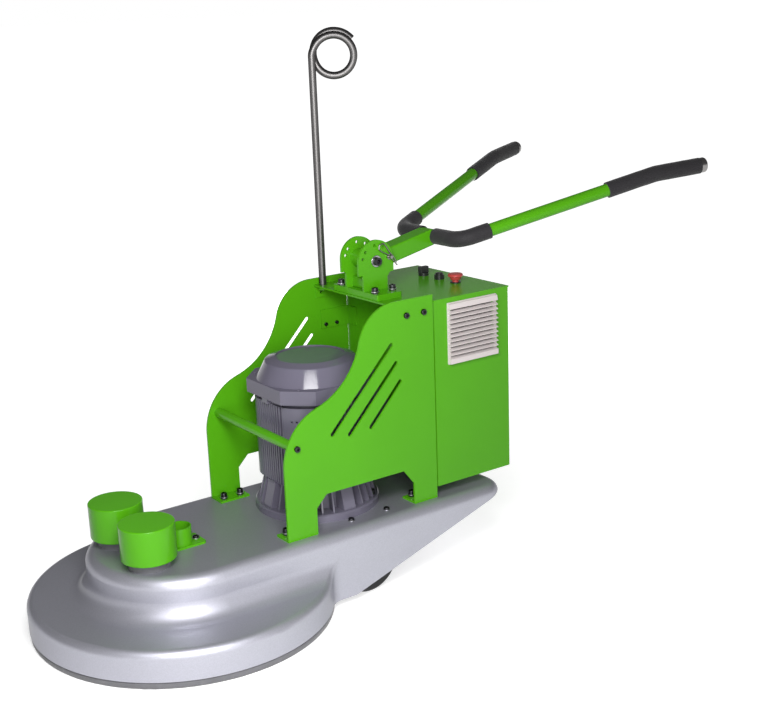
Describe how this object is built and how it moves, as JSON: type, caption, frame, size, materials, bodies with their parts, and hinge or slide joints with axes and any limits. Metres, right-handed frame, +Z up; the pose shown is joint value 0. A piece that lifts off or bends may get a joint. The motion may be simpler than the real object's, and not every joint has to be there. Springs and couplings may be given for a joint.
{
  "type": "floor polishing machine",
  "caption": "Walk-behind floor polisher: round skirt and raised deck, upright finned motor between bowed side plates, control box, splayed tilting handles and a tall cable mast.",
  "frame": {"origin": "axis of the polishing disc on the floor, at the underside of the pad", "axes": "+Z up, +X back towards the operator's grips, left side of the machine on -Y"},
  "size_m": [1.7033, 0.7278, 1.29],
  "materials": {
    "green_coat": "gloss powder coat",
    "motor_paint": "satin grey paint",
    "deck_silver": "metallic silver paint",
    "dark_steel": "black oxide",
    "bright_steel": "brushed",
    "zinc_steel": "zinc plated",
    "cast_iron": "machined",
    "bearing_steel": "polished",
    "black_plastic": "moulded",
    "driver_plastic": "moulded",
    "foam": "soft foam",
    "tyre_rubber": "moulded",
    "wheel_grey": "moulded",
    "belt_rubber": "moulded",
    "pad_fibre": "open fibre",
    "grille_grey": "moulded",
    "stop_red": "gloss"
  },
  "bodies": {
    "frame": {"deck_body": "deck_silver", "side_plate_left": "green_coat", "side_plate_right": "green_coat", "spacer_rod": "green_coat", "frame_bolts": "dark_steel", "motor_end_shield": "motor_paint", "motor_flange_bolts": "dark_steel", "motor_housing": "motor_paint", "terminal_box": "motor_paint", "motor_fan_cowl": "motor_paint", "drive_belt": "belt_rubber", "spindle_housing": "cast_iron", "spindle_bearings": "bearing_steel", "wheel_brackets": "zinc_steel", "wheel_axles": "bright_steel", "weight_posts": "bright_steel", "weight_buffers": "belt_rubber", "hose_spigot": "green_coat", "control_box_shell": "green_coat", "cable_gland": "black_plastic", "rear_cover": "green_coat", "box_screws": "dark_steel", "shelf_plate": "green_coat", "box_brackets": "green_coat", "vent_grille": "grille_grey", "vent_fan_frame": "black_plastic", "frequency_inverter": "black_plastic", "handle_base_plate": "green_coat", "index_cheeks": "green_coat", "bracket_block": "green_coat", "handle_bracket_bolts": "dark_steel", "pivot_bolt": "dark_steel", "cable_mast": "bright_steel", "estop_base": "zinc_steel", "start_button_base": "black_plastic", "selector_base": "zinc_steel"},
    "pad_head": {"spindle": "bright_steel", "spindle_pulley": "cast_iron", "pad_driver": "driver_plastic", "polishing_pad": "pad_fibre"},
    "motor_rotor": {"motor_shaft": "bright_steel", "cooling_fan": "black_plastic", "drive_pulley": "cast_iron"},
    "wheel_left": {"wheel_rim_left": "wheel_grey", "wheel_tyre_left": "tyre_rubber"},
    "wheel_right": {"wheel_rim_right": "wheel_grey", "wheel_tyre_right": "tyre_rubber"},
    "ballast_left": {"weight_left": "green_coat"},
    "ballast_right": {"weight_right": "green_coat"},
    "vent_fan": {"vent_fan_rotor": "black_plastic"},
    "handle": {"handle_stem": "green_coat", "handle_bar": "green_coat", "handle_sleeves": "foam", "handle_grips": "foam", "grip_end_caps": "bright_steel"},
    "lock": {"lock_pin": "bright_steel", "hairpin_clip": "bright_steel"},
    "stop_button": {"estop_head": "stop_red"},
    "start_cap": {"start_button": "black_plastic"},
    "selector": {"selector_knob": "black_plastic"}
  },
  "joints": [
    {"name": "pad_spin", "type": "hinge", "parent": "frame", "child": "pad_head", "pos_m": [0, 0, 0], "axis": [0, 0, 1], "continuous": true},
    {"name": "motor_spin", "type": "hinge", "parent": "frame", "child": "motor_rotor", "pos_m": [0.38, 0, 0], "axis": [0, 0, 1], "continuous": true},
    {"name": "wheel_left_spin", "type": "hinge", "parent": "frame", "child": "wheel_left", "pos_m": [0.398, -0.172, 0.08], "axis": [0, 1, 0], "continuous": true},
    {"name": "wheel_right_spin", "type": "hinge", "parent": "frame", "child": "wheel_right", "pos_m": [0.398, 0.172, 0.08], "axis": [0, 1, 0], "continuous": true},
    {"name": "vent_fan_spin", "type": "hinge", "parent": "frame", "child": "vent_fan", "pos_m": [0.727, -0.16, 0.581], "axis": [0, 1, 0], "continuous": true},
    {"name": "handle_tilt", "type": "hinge", "parent": "frame", "child": "handle", "pos_m": [0.554, 0, 0.751], "axis": [0, -1, 0], "range_deg": [0, 75]},
    {"name": "lock_pin_pull", "type": "slide", "parent": "frame", "child": "lock", "axis": [0, -1, 0], "range_m": [0, 0.04]},
    {"name": "weight_left_lift", "type": "slide", "parent": "frame", "child": "ballast_left", "axis": [0, 0, 1], "range_m": [0, 0.06]},
    {"name": "weight_right_lift", "type": "slide", "parent": "frame", "child": "ballast_right", "axis": [0, 0, 1], "range_m": [0, 0.06]},
    {"name": "estop_press", "type": "slide", "parent": "frame", "child": "stop_button", "axis": [0, 0, -1], "range_m": [0, 0.005], "stiffness_N_per_m": 600, "springref_m": -0.004},
    {"name": "start_press", "type": "slide", "parent": "frame", "child": "start_cap", "axis": [0, 0, -1], "range_m": [0, 0.0035], "stiffness_N_per_m": 400, "springref_m": -0.003},
    {"name": "selector_turn", "type": "hinge", "parent": "frame", "child": "selector", "pos_m": [0.776, 0.066, 0.668], "axis": [0, 0, 1], "range_deg": [-45, 45]}
  ],
  "couplings": [
    {"joint": "motor_spin", "follows": "pad_spin", "ratio": 1.5}
  ]
}
